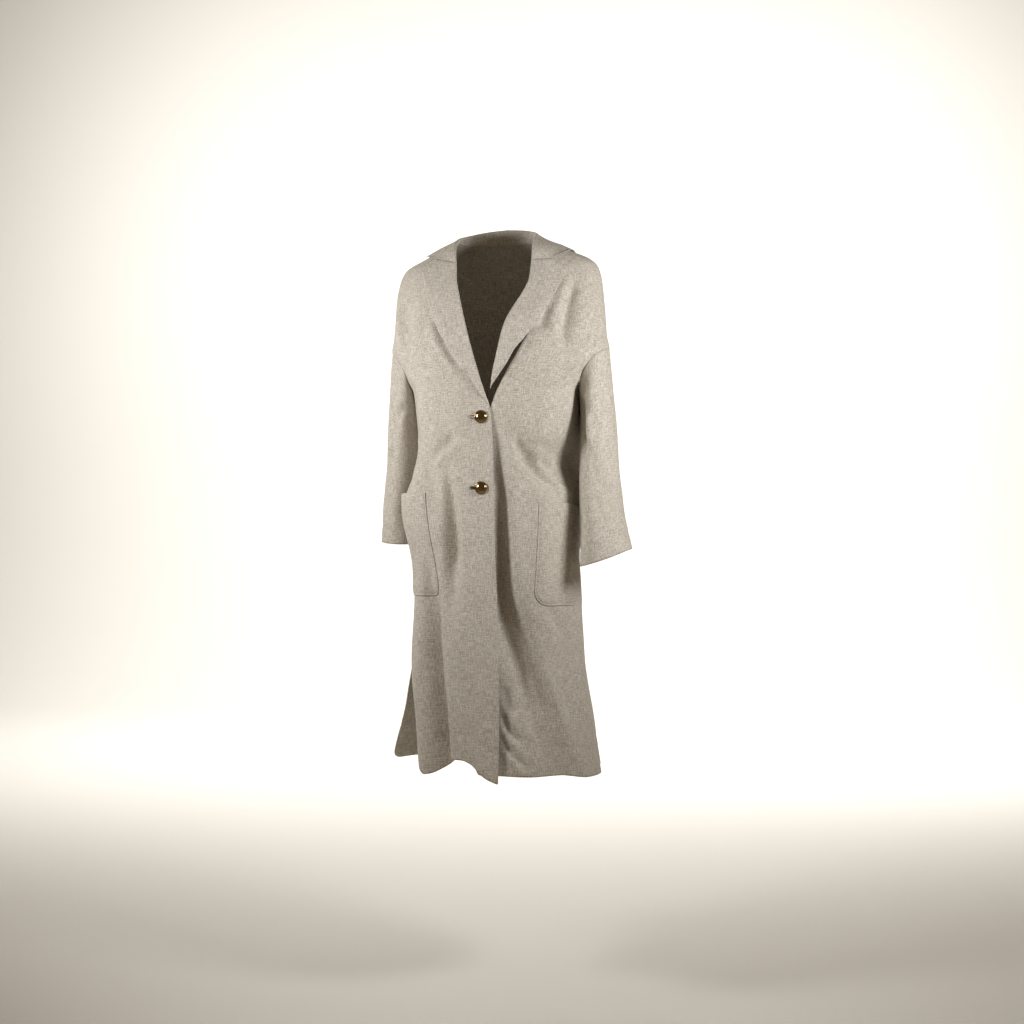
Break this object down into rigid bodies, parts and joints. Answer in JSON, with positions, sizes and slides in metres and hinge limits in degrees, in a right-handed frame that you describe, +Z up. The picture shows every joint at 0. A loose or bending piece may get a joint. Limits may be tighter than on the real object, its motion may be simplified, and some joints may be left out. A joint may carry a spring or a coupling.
{
  "type": "long linen coat",
  "caption": "Long loose coat in its hollow worn form, with notched lapels, dropped shoulders, patch pockets, side vents and domed buttons.",
  "frame": {"origin": "middle of the neck, level with the inner ends of the shoulder seams, where the wearer holds the coat", "axes": "+Z up, +X towards the wearer's left, -Y towards the front"},
  "size_m": [0.5339, 0.3123, 1.0885],
  "materials": {
    "body_linen": "matt slubbed linen weave, oatmeal",
    "facing_linen": "matt slubbed linen weave, double layer, oatmeal",
    "button_brass": "polished aged brass dome"
  },
  "bodies": {
    "root": {"front_left": "body_linen", "front_right": "body_linen", "back": "body_linen", "sleeve_left": "body_linen", "sleeve_right": "body_linen", "lapel_left": "facing_linen", "lapel_right": "facing_linen", "collar": "facing_linen", "pocket_left": "body_linen", "pocket_right": "body_linen", "button_upper": "button_brass", "button_lower": "button_brass"}
  },
  "joints": []
}
